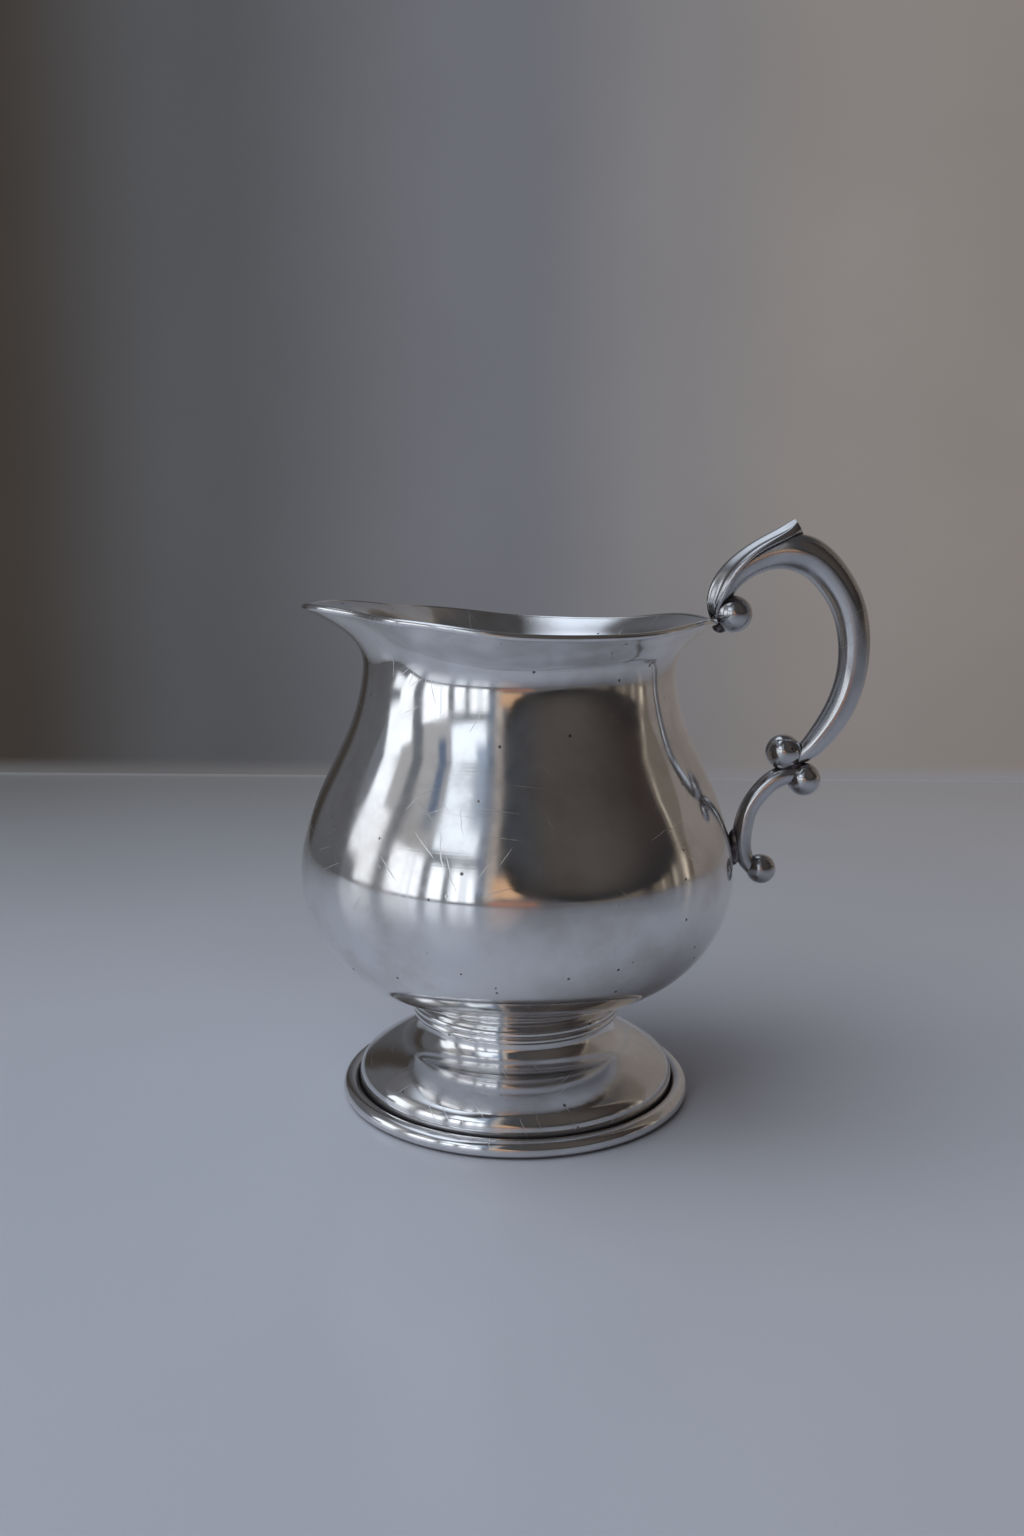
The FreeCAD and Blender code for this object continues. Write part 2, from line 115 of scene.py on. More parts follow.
def trace(corners: Sequence[Corner], step: float = 0.1) -> np.ndarray:
    """Closed outline through corners, each (radius, height, edge) with an edge as arc() takes it, or None.

    Args:
        corners: The corners in order; each edge runs on to the next corner.
        step: Distance between points.

    Returns:
        The points of the outline, one to a row.
    """
    runs = []
    for here, following in zip(corners, [*corners[1:], corners[0]]):
        start, end, edge = here[:2], following[:2], here[2]
        if edge is None:
            count = max(1, math.ceil(math.dist(start, end) / step))
            share = np.arange(count)[:, None] / count
            runs.append(np.array(start) * (1 - share) + np.array(end) * share)
        else:
            runs.append(arc(start, end, *edge, step))
    return np.concatenate(runs)


def soften(outline: np.ndarray, passes: int) -> np.ndarray:
    """Round the corners of a closed outline a little, as polishing does."""
    for _ in range(passes):
        outline = outline * 0.5 + (np.roll(outline, 1, axis=0) + np.roll(outline, -1, axis=0)) * 0.25
    return outline


def thin(outline: np.ndarray, turn: float = 5.0, reach: float = 0.7) -> np.ndarray:
    """Keep the points of a closed outline that its shape needs.

    Args:
        outline: Closely spaced points.
        turn: Most that the outline may turn between two kept points, in degrees.
        reach: Most that two kept points may lie apart.

    Returns:
        The kept points.
    """
    before = outline - np.roll(outline, 1, axis=0)
    after = np.roll(outline, -1, axis=0) - outline
    cross = before[:, 0] * after[:, 1] - before[:, 1] * after[:, 0]
    bend = np.degrees(np.abs(np.arctan2(cross, (before * after).sum(axis=1))))
    kept, turned, run = [0], 0.0, 0.0
    for i in range(1, len(outline)):
        turned += bend[i]
        run += np.linalg.norm(before[i])
        if turned > turn or run > reach:
            kept.append(i)
            turned, run = 0.0, 0.0
    return outline[kept]


def through(stations: np.ndarray, count: int) -> np.ndarray:
    """Points of the natural cubic spline through stations, spaced evenly along it.

    Args:
        stations: One station to a row; the first two columns are its place in the XZ plane.
        count: Number of points.

    Returns:
        The points, with the same columns as the stations.
    """
    gaps = np.linalg.norm(np.diff(stations[:, :2], axis=0), axis=1)
    knots = np.concatenate([[0.0], np.cumsum(gaps)])
    size = len(stations)
    system = np.eye(size)
    right = np.zeros_like(stations)
    slopes = np.diff(stations, axis=0) / gaps[:, None]
    for i in range(1, size - 1):
        system[i, i - 1:i + 2] = gaps[i - 1], 2 * (gaps[i - 1] + gaps[i]), gaps[i]
        right[i] = 6 * (slopes[i] - slopes[i - 1])
    bends = np.linalg.solve(system, right)
    places = np.linspace(0.0, knots[-1], count)
    span = np.clip(np.searchsorted(knots, places, side="right") - 1, 0, size - 2)
    gap = gaps[span][:, None]
    late = (places - knots[span])[:, None] / gap
    early = 1 - late
    curve = early * stations[span] + late * stations[span + 1]
    return curve + gap**2 / 6 * ((early**3 - early) * bends[span] + (late**3 - late) * bends[span + 1])


def ring_curve(points: np.ndarray, per_span: int) -> np.ndarray:
    """Points of the closed, even cubic spline through points.

    Args:
        points: The points, along the second last axis.
        per_span: Number of points made for each given one.

    Returns:
        The points of the curve.
    """
    bend = np.roll(points, 1, axis=-2) + np.roll(points, -1, axis=-2) - 2 * points
    poles = points - bend / 6
    spans = []
    for share in np.arange(per_span) / per_span:
        weights = ((1 - share)**3, 3 * share**3 - 6 * share**2 + 4,
                   -3 * share**3 + 3 * share**2 + 3 * share + 1, share**3)
        spans.append(sum(weight * np.roll(poles, 1 - k, axis=-2) for k, weight in enumerate(weights)) / 6)
    made = np.stack(spans, axis=-2)
    return made.reshape(*points.shape[:-2], -1, points.shape[-1])


def ways(line: np.ndarray) -> np.ndarray:
    """Unit directions along a line of (x, z) points."""
    way = np.gradient(line, axis=0)
    return way / np.linalg.norm(way, axis=1, keepdims=True)


def lathe(outline: np.ndarray, count: int) -> np.ndarray:
    """Turn an outline of (radius, height) points about Z.

    Args:
        outline: The points of the outline.
        count: Number of points round the axis.

    Returns:
        One ring of points for each point of the outline.
    """
    angle = np.linspace(0.0, 2 * math.pi, count, endpoint=False)
    x = outline[:, :1] * np.cos(angle)
    y = outline[:, :1] * np.sin(angle)
    return np.stack([x, y, np.repeat(outline[:, 1:], count, axis=1)], axis=2)


def skin(name: str, rings: np.ndarray, closed: bool = False, tips: np.ndarray | None = None,
         sharp: float = 50.0) -> bpy.types.Object:
    """A mesh of quads over rings of points, in metres, as a closed surface.

    Args:
        name: Name of the piece.
        rings: Array of rings, points and coordinates, in millimetres.
        closed: Whether the last ring joins the first; if not, each end is closed by a fan.
        tips: The two middle points of the fans; the middles of the end rings if left out.
        sharp: Angle between faces, in degrees, from which their edge is a sharp one.

    Returns:
        The new object, linked to the scene.
    """
    ring_count, point_count = rings.shape[:2]
    index = np.arange(ring_count * point_count).reshape(ring_count, point_count)
    beside = np.roll(index, -1, axis=1)
    if closed:
        corners = (index, beside, np.roll(beside, -1, axis=0), np.roll(index, -1, axis=0))
    else:
        corners = (index[:-1], beside[:-1], beside[1:], index[1:])
    quads = np.stack(corners, axis=-1).reshape(-1, 4)
    faces = quads.tolist()
    points = rings.reshape(-1, 3)
    if not closed:
        ends = tips if tips is not None else np.array([rings[0].mean(axis=0), rings[-1].mean(axis=0)])
        first = len(points)
        points = np.concatenate([points, ends])
        faces += [[first, b, a] for a, b in zip(index[0].tolist(), beside[0].tolist())]
        faces += [[first + 1, a, b] for a, b in zip(index[-1].tolist(), beside[-1].tolist())]
    a, b, c, d = (points[quads[:, k]] - points.mean(axis=0) for k in range(4))
    volume = (a * np.cross(b, c)).sum() + (a * np.cross(c, d)).sum()
    if volume < 0:
        faces = [face[::-1] for face in faces]
    mesh = bpy.data.meshes.new(name)
    mesh.from_pydata((points * MM).tolist(), [], faces)
    mesh.polygons.foreach_set("use_smooth", np.ones(len(faces), dtype=bool))
    mesh.set_sharp_from_angle(angle=math.radians(sharp))
    mesh.update()
    piece = bpy.data.objects.new(name, mesh)
    bpy.context.scene.collection.objects.link(piece)
    return piece


def swell(angle: np.ndarray, middle: float, reach: float) -> np.ndarray:
    """A smooth rise from 0 to 1 and back, centred on middle, for angles in degrees."""
    away = np.abs(angle - middle)
    return np.where(away < reach, np.cos(math.pi * away / (2 * reach))**2, 0.0)


# ---------------------------------------------------------------- materials


@dataclass
class Graph:
    """Short calls for building a node tree."""

    tree: bpy.types.NodeTree

    def add(self, kind: str, **settings: object) -> bpy.types.Node:
        """Add a shader node, named without its common prefix, and set its properties."""
        node = self.tree.nodes.new("ShaderNode" + kind)
        for name, value in settings.items():
            setattr(node, name, value)
        return node

    def feed(self, socket: Socket, value: object) -> None:
        """Link a socket, or set it to a number or a colour."""
        if isinstance(value, Socket):
            self.tree.links.new(value, socket)
        elif socket.type == "RGBA" and len(value) == 3:
            socket.default_value = (*value, 1.0)
        else:
            socket.default_value = value

    def calc(self, operation: str, *values: object, clamp: bool = False) -> Socket:
        """The result of a Math node."""
        node = self.add("Math", operation=operation, use_clamp=clamp)
        for socket, value in zip(node.inputs, values):
            self.feed(socket, value)
        return node.outputs[0]

    def times(self, first: object, second: object) -> Socket:
        """The product of two numbers."""
        return self.calc("MULTIPLY", first, second)

    def plus(self, first: object, second: object) -> Socket:
        """The sum of two numbers."""
        return self.calc("ADD", first, second)

    def minus(self, first: object, second: object) -> Socket:
        """The first number less the second."""
        return self.calc("SUBTRACT", first, second)

    def shaded(self, colour: object, level: Socket) -> Socket:
        """A colour made lighter or darker by a number."""
        return self.mix(1.0, colour, self.joined(level, level, level), "MULTIPLY")

    def scaled(self, vector: Socket, scale: Triple, turn: Triple = (0.0, 0.0, 0.0),
               shift: Triple = (0.0, 0.0, 0.0)) -> Socket:
        """A vector turned, shifted and scaled.

        Args:
            vector: The vector's socket.
            scale: Scale along X, Y and Z, after the turn.
            turn: Euler angles in radians.
            shift: Shift after the turn and before the scale.

        Returns:
            The socket of the new vector.
        """
        turned = self.add("Mapping", vector_type="POINT")
        self.feed(turned.inputs["Vector"], vector)
        turned.inputs["Rotation"].default_value = turn
        turned.inputs["Location"].default_value = shift
        stretched = self.add("VectorMath", operation="MULTIPLY")
        self.feed(stretched.inputs[0], turned.outputs[0])
        stretched.inputs[1].default_value = scale
        return stretched.outputs[0]

    def joined(self, x: object, y: object, z: object) -> Socket:
        """A vector made of three numbers."""
        node = self.add("CombineXYZ")
        for socket, value in zip(node.inputs, (x, y, z)):
            self.feed(socket, value)
        return node.outputs[0]

    def parts(self, vector: Socket) -> tuple[Socket, ...]:
        """The three numbers of a vector."""
        node = self.add("SeparateXYZ")
        self.feed(node.inputs[0], vector)
        return tuple(node.outputs)

    def noise(self, vector: Socket, scale: float, detail: float = 2.0,
              rough: float = 0.5) -> Socket:
        """Smooth noise from 0 to 1."""
        node = self.add("TexNoise", noise_dimensions="3D")
        self.feed(node.inputs["Vector"], vector)
        node.inputs["Scale"].default_value = scale
        node.inputs["Detail"].default_value = detail
        node.inputs["Roughness"].default_value = rough
        return node.outputs["Fac"]

    def cells(self, vector: Socket, scale: float) -> tuple[Socket, ...]:
        """Distance to the nearest of scattered points, and a random number for that point."""
        node = self.add("TexVoronoi", voronoi_dimensions="3D", feature="F1")
        self.feed(node.inputs["Vector"], vector)
        node.inputs["Scale"].default_value = scale
        red = self.add("SeparateColor")
        self.feed(red.inputs[0], node.outputs["Color"])
        return node.outputs["Distance"], red.outputs[0]

    def step(self, value: object, low: float, high: float, start: float = 0.0,
             end: float = 1.0) -> Socket:
        """A smooth step from start to end as value goes from low to high.

        Args:
            value: The number that is mapped.
            low: Where the step starts.
            high: Where it ends.
            start: Result up to low.
            end: Result from high.

        Returns:
            The socket of the result.
        """
        node = self.add("MapRange", interpolation_type="SMOOTHSTEP", clamp=True)
        for socket, number in zip(node.inputs, (value, low, high, start, end)):
            self.feed(socket, number)
        return node.outputs[0]

    def band(self, value: Socket, low: float, high: float, soft: float) -> Socket:
        """1 between low and high, 0 outside, with soft edges."""
        rise = self.step(value, low - soft, low + soft)
        fall = self.step(value, high - soft, high + soft, 1.0, 0.0)
        return self.times(rise, fall)

    def bump(self, shader: bpy.types.Node, height: Socket) -> None:
        """Give a shader a surface raised by height, in metres."""
        node = self.add("Bump")
        node.inputs["Distance"].default_value = 1.0
        self.feed(node.inputs["Height"], height)
        self.feed(shader.inputs["Normal"], node.outputs[0])

    def mix(self, share: object, first: object, second: object, way: str = "MIX") -> Socket:
        """A mix of two colours."""
        node = self.add("Mix", data_type="RGBA", blend_type=way, clamp_factor=True)
        for number, value in ((0, share), (6, first), (7, second)):
            self.feed(node.inputs[number], value)
        return node.outputs[2]


def new_material(name: str) -> tuple[bpy.types.Material, Graph, bpy.types.Node]:
    """A material with nodes, its graph and its Principled shader."""
    material = bpy.data.materials.new(name)
    material.use_nodes = True
    graph = Graph(material.node_tree)
    return material, graph, material.node_tree.nodes["Principled BSDF"]


@dataclass(frozen=True)
class WornPlate:
    """Silver plate: bright metal with wear, hair scratches, pits and a breath of tarnish, with painted
    shade darkening its crevices.

    Heights, depths and reaches are in metres, and scales are counts to the metre. Each set of scratches is
    its turn on the sheet in radians, its scale along and across a scratch, and a shift.
    """

    name: str
    clean: Colour = (0.82, 0.82, 0.825)
    tarnish: Colour = (0.50, 0.465, 0.44)
    # Near-black colour of the dirt in pits and of the painted shade in crevices.
    residue_and_crevice_shade: Colour = (0.05, 0.035, 0.04)
    tarnish_share: float = 0.55
    rough_low: float = 0.07
    rough_high: float = 0.17
    spun_height: float = 2.4e-6
    scratch_depth: float = 7.0e-6
    pit_depth: float = 1.2e-5
    wave_height: float = 0.0
    crevice_reach: float = 0.0012
    crevice_share: float = 0.85
    spun_lines: float = 2600.0
    patch_scale: float = 70.0
    smear_scale: float = 260.0
    pit_scale: float = 380.0
    sheet_radius: float = 0.033
    scratch_sets: tuple[tuple[float, float, float, float], ...] = (
        (0.15, 22.0, 1150.0, 0.0), (-0.5, 38.0, 1500.0, 0.3), (0.9, 34.0, 1300.0, 0.55),
        (1.35, 26.0, 1200.0, 0.1), (-1.1, 48.0, 1500.0, 0.8))

    def scratches(self, graph: Graph, surface: Socket) -> Socket:
        """Fine straight and curved scratches, crossing at several angles.

        Args:
            graph: The material's graph.
            surface: Place on the surface.

        Returns:
            The socket of a number that is 1 in a scratch and 0 beside it.
        """
        drift = graph.noise(surface, 120.0)
        bent = graph.add("VectorMath", operation="MULTIPLY_ADD")
        graph.feed(bent.inputs[0], graph.joined(drift, drift, drift))
        bent.inputs[1].default_value = (0.003, 0.003, 0.003)
        graph.feed(bent.inputs[2], surface)
        found = None
        for number, (turn, along, across, shift) in enumerate(self.scratch_sets):
            source = bent.outputs[0] if number % 2 else surface
            needle = graph.scaled(source, (along, across, along), (0.0, 0.0, turn), (shift, shift, 0.0))
            distance, chance = graph.cells(needle, 1.0)
            line = graph.times(graph.step(distance, 0.04, 0.12, 1.0, 0.0), graph.step(chance, 0.55, 0.85))
            found = line if found is None else graph.calc("MAXIMUM", found, line)
        return found

    def material(self) -> bpy.types.Material:
        """Build the material.

        Returns:
            The finished material.
        """
        material, graph, shader = new_material(self.name)
        place = graph.add("TexCoord").outputs["Object"]
        x, y, z = graph.parts(place)
        radius = graph.calc("SQRT", graph.plus(graph.times(x, x), graph.times(y, y)))
        turn = graph.calc("ARCTAN2", y, x)
        sheet = graph.joined(graph.times(turn, self.sheet_radius), graph.minus(z, radius), 0.0)
        groove = graph.joined(graph.times(radius, self.spun_lines), graph.times(z, self.spun_lines),
                              graph.times(turn, 2.0))
        spun = graph.noise(groove, 1.0, 3.0, 0.65)
        patches = graph.noise(place, self.patch_scale, 4.0, 0.6)
        smears = graph.noise(place, self.smear_scale, 3.0, 0.6)
        scratches = self.scratches(graph, sheet)
        distance, chance = graph.cells(place, self.pit_scale)
        pits = graph.times(graph.step(distance, 0.05, 0.13, 1.0, 0.0), graph.step(chance, 0.66, 0.74))
        # Painted shade: the ambient occlusion node darkens the colour towards near-black, and roughens it,
        # wherever other surfaces lie within crevice_reach, in crevices and between parts; it stands also
        # for the dark residue that gathers there.
        hollow = graph.add("AmbientOcclusion", samples=6, only_local=False)
        hollow.inputs["Distance"].default_value = self.crevice_reach
        crevice = graph.step(hollow.outputs["AO"], 0.3, 0.8, 1.0, 0.0)

        tint = graph.times(graph.step(patches, 0.38, 0.72), self.tarnish_share)
        colour = graph.mix(tint, self.clean, self.tarnish)
        # Dirt in the pits, and painted shade with residue in the crevices.
        for dirt_and_shade in (pits, crevice):
            colour = graph.mix(graph.times(dirt_and_shade, self.crevice_share), colour, self.residue_and_crevice_shade)
        graph.feed(shader.inputs["Base Color"], colour)

        wear = graph.plus(graph.times(patches, 0.6), graph.times(smears, 0.4))
        rough = graph.step(wear, 0.35, 0.68, self.rough_low, self.rough_high)
        rough = graph.plus(rough, graph.times(scratches, 0.25))
        rough = graph.plus(rough, graph.times(graph.calc("MAXIMUM", pits, crevice), 0.35))
        graph.feed(shader.inputs["Roughness"], rough)

        height = graph.times(spun, self.spun_height)
        height = graph.minus(height, graph.times(scratches, self.scratch_depth))
        height = graph.minus(height, graph.times(pits, self.pit_depth))
        if self.wave_height:
            ripple = graph.noise(place, 160.0, 2.0)
            height = graph.plus(height, graph.times(ripple, self.wave_height))
        graph.bump(shader, height)
        shader.inputs["Metallic"].default_value = 1.0
        return material


@dataclass(frozen=True)
class DullSolder:
    """Old silver solder: dark, grainy and dull, brighter where a cloth has reached it."""

    name: str = "old_solder"
    dark: Colour = (0.10, 0.085, 0.09)
    rubbed: Colour = (0.42, 0.40, 0.40)

    def material(self) -> bpy.types.Material:
        """Build the material."""
        material, graph, shader = new_material(self.name)
        place = graph.add("TexCoord").outputs["Object"]
        grain = graph.noise(place, 2600.0, 4.0, 0.6)
        rubbed = graph.step(graph.noise(place, 700.0), 0.4, 0.7)
        graph.feed(shader.inputs["Base Color"], graph.mix(rubbed, self.dark, self.rubbed))
        graph.feed(shader.inputs["Roughness"], graph.step(grain, 0.3, 0.7, 0.32, 0.55))
        graph.bump(shader, graph.times(grain, 3.0e-5))
        shader.inputs["Metallic"].default_value = 1.0
        return material


@dataclass(frozen=True)
class TableTop:
    """Pale painted table top with a very fine grain, its colour toned with painted light and shade: lighter
    near the camera, darker far off, and toned apart at its left and right.
    """

    name: str = "pale_table"
    # Painted light and shade: the four corner colours of the top.
    near_left: Colour = (0.62, 0.66, 0.75)
    near_right: Colour = (0.55, 0.57, 0.64)
    far_left: Colour = (0.34, 0.34, 0.35)
    far_right: Colour = (0.52, 0.51, 0.53)

    def material(self) -> bpy.types.Material:
        """Build the material."""
        material, graph, shader = new_material(self.name)
        place = graph.add("TexCoord").outputs["Object"]
        across, depth, _ = graph.parts(place)
        # Painted light and shade: the corner colours are blended across and back, so the top is lighter
        # near the camera and darker far off, as the room's light falls on it.
        side = graph.step(across, -0.22, 0.22)
        near = graph.mix(side, self.near_left, self.near_right)
        far = graph.mix(side, self.far_left, self.far_right)
        cloud = graph.step(graph.noise(place, 9.0, 3.0), 0.2, 0.8, 0.96, 1.03)
        colour = graph.mix(graph.step(depth, -0.05, 0.36), near, far)
        colour = graph.shaded(colour, cloud)
        graph.feed(shader.inputs["Base Color"], colour)
        shader.inputs["Roughness"].default_value = 0.25
        graph.bump(shader, graph.times(graph.noise(place, 1600.0, 3.0, 0.6), 2.0e-5))
        return material


@dataclass(frozen=True)
class ShadedWall:
    """Wall behind the table that glows instead of being lit, its emitted colour painted with light and
    shade: dim at the left, warmer at the right, a little darker low down and toned apart along its foot.
    """

    name: str = "shaded_wall"
    # Painted light and shade: the tones the wall glows with, band by band from left to right, and along its
    # foot.
    left_edge: Colour = (0.11, 0.112, 0.122)
    tones: tuple[tuple[float, float, Colour], ...] = (
        (-0.337, -0.262, (0.050, 0.043, 0.038)), (-0.22, -0.14, (0.088, 0.09, 0.098)),
        (-0.131, -0.019, (0.145, 0.15, 0.17)), (0.0, 0.065, (0.20, 0.195, 0.205)),
        (0.056, 0.14, (0.242, 0.222, 0.212)), (0.14, 0.28, (0.225, 0.20, 0.185)))
    foot_left: Colour = (0.112, 0.111, 0.115)
    foot_right: Colour = (0.222, 0.218, 0.235)
    foot_blend: tuple[float, float] = (0.0005, 0.0085)

    def material(self) -> bpy.types.Material:
        """Build the material."""
        material, graph, shader = new_material(self.name)
        place = graph.add("TexCoord").outputs["Object"]
        across, _, up = graph.parts(place)
        colour = self.left_edge
        for low, high, tone in self.tones:
            colour = graph.mix(graph.step(across, low, high), colour, tone)
        # Painted shade: the lowest part of the wall glows a little darker.
        shade = graph.step(up, 0.0, 0.12, 0.9, 1.0)
        grain = graph.step(graph.noise(place, 14.0, 3.0), 0.2, 0.8, 0.97, 1.03)
        level = graph.times(shade, grain)
        colour = graph.shaded(colour, level)
        # Painted light and shade along the wall's foot, darker at the left and lighter at the right.
        foot = graph.mix(graph.step(across, -0.22, 0.2), self.foot_left, self.foot_right)
        colour = graph.mix(graph.step(up, *self.foot_blend), foot, colour)
        # The wall glows with its painted light and shade as emission, with no base colour and no sheen.
        shader.inputs["Base Color"].default_value = (0.0, 0.0, 0.0, 1.0)
        shader.inputs["Specular IOR Level"].default_value = 0.0
        graph.feed(shader.inputs["Emission Color"], colour)
        shader.inputs["Emission Strength"].default_value = 1.0
        return material


# ---------------------------------------------------------------- pieces of the jug


def settle(piece: bpy.types.Object, node: str, slot: Slot, material: bpy.types.Material) -> None:
    """Dress a piece, fix it to the jug and let it stand for its CAD node.

    Args:
        piece: The new piece.
        node: The CAD node that it stands for.
        slot: The record's slot that its finish comes from.
        material: Its material.
    """
    piece.data.materials.append(material)
    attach(piece, BODY)
    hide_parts(node)
    log.info("%s stands for %s: %d faces, %s", piece.name, node, len(piece.data.polygons), slot.value)


@dataclass
class Bowl:
    """The spun sheet bowl with its neck, its flared wavy mouth and its pouring lip, in millimetres.

    The fields ending in _at are angles from the handle, in degrees: where a swell of the rim is and how far
    it reaches to each side.
    """

    wall: float = 0.9
    belly_radius: float = field(default_factory=lambda: float(node_box("body_shell")[1][1]))
    base_height: float = field(default_factory=lambda: float(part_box("body_shell")[0].z / MM))
    base_start: float = 1.5
    belly_arc: float = 21.4
    shoulder_turn: float = 13.4
    shoulder_arc: float = 56.0
    neck_slope: float = 25.7
    neck_straight: float = 6.9
    neck_arc: float = 34.6
    mouth_slope: float = 9.0
    rim_mean: float = 34.5
    rim_shift: float = 1.5
    side_swell: float = 1.2
    side_at: tuple[float, float] = (95.0, 35.0)
    notch_depth: float = 2.6
    notch_at: tuple[float, float] = (139.0, 20.0)
    rim_height: float = 83.0
    rim_rise: float = 1.6
    rim_wave: float = 1.3
    lip_rise: float = 0.45
    lips_at: tuple[tuple[float, float], ...] = ((112.0, 24.0), (158.0, 24.0))
    tip_drop: float = 1.2
    tip_at: tuple[float, float] = (180.0, 60.0)
    heel_rise: float = 0.7
    heel_at: tuple[float, float] = (30.0, 30.0)
    bead_radius: float = 0.55
    flare_start: tuple[float, float] = (7.0, 5.0)
    flare_end: tuple[float, float] = (4.5, 11.2)
    flare_angle: tuple[float, float] = (38.0, 24.4)
    round_count: int = 320
    unevenness: float = 0.022

    @property
    def angles(self) -> np.ndarray:
        """Angles of the points round the jug, from the handle, in degrees."""
        return np.arange(self.round_count) * 360.0 / self.round_count

    @property
    def from_handle(self) -> np.ndarray:
        """The same angles, mirrored about the plane of the spout and handle, 0 to 180."""
        return np.minimum(self.angles, 360.0 - self.angles)

    def rim(self) -> tuple[np.ndarray, np.ndarray]:
        """Radius and height of the rim's outer edge at each angle."""
        turn = np.radians(self.from_handle)
        radius = self.rim_mean - self.rim_shift * np.cos(turn)
        radius += self.side_swell * swell(self.from_handle, *self.side_at)
        radius -= self.notch_depth * swell(self.from_handle, *self.notch_at)
        height = self.rim_height - self.rim_rise * np.cos(turn) + self.rim_wave * np.cos(2 * turn)
        height += self.lip_rise * sum(swell(self.from_handle, *place) for place in self.lips_at)
        height += self.heel_rise * swell(self.from_handle, *self.heel_at)
        height -= self.tip_drop * swell(self.from_handle, *self.tip_at)
        return radius, height

    def between(self, ends: tuple[float, float]) -> np.ndarray:
        """A size that goes smoothly from its value at the handle to its value at the spout."""
        share = (1 - np.cos(np.radians(self.from_handle))) / 2
        return ends[0] + share * (ends[1] - ends[0])

    def wall_line(self, offset: float, step: float) -> np.ndarray:
        """One face of the turned wall, from the axis up to the foot of the mouth.

        Args:
            offset: 0 for the outer face, the wall's thickness for the inner one.
            step: Distance between points.

        Returns:
            Points (radius, height).
        """
        def toward(angle: float) -> np.ndarray:
            """Unit direction turned up from the horizontal, in degrees."""
            return np.array([math.cos(math.radians(angle)), math.sin(math.radians(angle))])

        def stretch(centre: np.ndarray, radius: float, first: float, last: float, way: int) -> np.ndarray:
            """Points on an arc about centre, from the direction first to last."""
            count = max(3, round(abs(math.radians(last - first)) * radius / step))
            turns = np.linspace(first, last, count)[:-1]
            return np.array([centre + way * radius * toward(turn) for turn in turns])

        middle = np.array([self.belly_radius - self.belly_arc, self.base_height + self.belly_arc])
        shoulder_centre = middle + (self.belly_arc - self.shoulder_arc) * toward(self.shoulder_turn)
        slope_start = shoulder_centre + self.shoulder_arc * toward(self.neck_slope)
        slope_end = slope_start + self.neck_straight * toward(self.neck_slope + 90)
        neck_centre = slope_end + self.neck_arc * toward(self.neck_slope)
        inward = offset * toward(self.neck_slope)
        radii = np.linspace(self.base_start, middle[0], 12)[:-1]
        base = np.stack([radii, np.full(len(radii), self.base_height + offset)], axis=1)
        count = max(3, round(self.neck_straight / step))
        straight = np.linspace(slope_start - inward, slope_end - inward, count)
        join = neck_centre[0] - math.sqrt(
            (self.neck_arc + offset)**2 - (self.neck_arc * math.sin(math.radians(self.mouth_slope)))**2)
        last = math.degrees(math.asin(
            self.neck_arc * math.sin(math.radians(self.mouth_slope)) / (self.neck_arc + offset)))
        return np.concatenate([
            base,
            stretch(middle, self.belly_arc - offset, -90.0, self.shoulder_turn, 1),
            stretch(shoulder_centre, self.shoulder_arc - offset, self.shoulder_turn, self.neck_slope, 1),
            straight[:-1],
            stretch(neck_centre, self.neck_arc + offset, self.neck_slope, last, -1),
            [[join, neck_centre[1] - self.neck_arc * math.sin(math.radians(self.mouth_slope))]],
        ])

    def mouth(self, join: np.ndarray, offset: float, count: int) -> np.ndarray:
        """One face of the flared mouth, from its foot to the rim, at every angle.

        Args:
            join: Radius and height of the mouth's foot on this face.
            offset: 0 for the outer face, the wall's thickness for the inner one.
            count: Number of rings.

        Returns:
            Array of rings, angles and (radius, height).
        """
        lean = np.radians(self.between(self.flare_angle))
        slope = math.radians(self.mouth_slope)
        start = self.between(self.flare_start)[:, None]
        end = self.between(self.flare_end)[:, None]
        radius, height = self.rim()
        outward = np.stack([np.cos(lean), np.sin(lean)], axis=1)
        inside = np.stack([-np.sin(lean), np.cos(lean)], axis=1)
        rim = np.stack([radius, height], axis=1) + offset * inside
        foot = np.broadcast_to(join, rim.shape)
        upward = np.array([-math.sin(slope), math.cos(slope)])
        poles = (foot, foot + start * upward, rim - end * outward, rim)
        share = np.linspace(0.0, 1.0, count)[1:, None, None]
        weights = ((1 - share)**3, 3 * (1 - share)**2 * share, 3 * (1 - share) * share**2, share**3)
        return sum(weight * pole for weight, pole in zip(weights, poles))

    def whole(self, flat: np.ndarray) -> np.ndarray:
        """Points in space for rings of (radius, height) at every angle."""
        turn = np.radians(self.angles)
        return np.stack([flat[..., 0] * np.cos(turn), flat[..., 0] * np.sin(turn), flat[..., 1]], axis=-1)

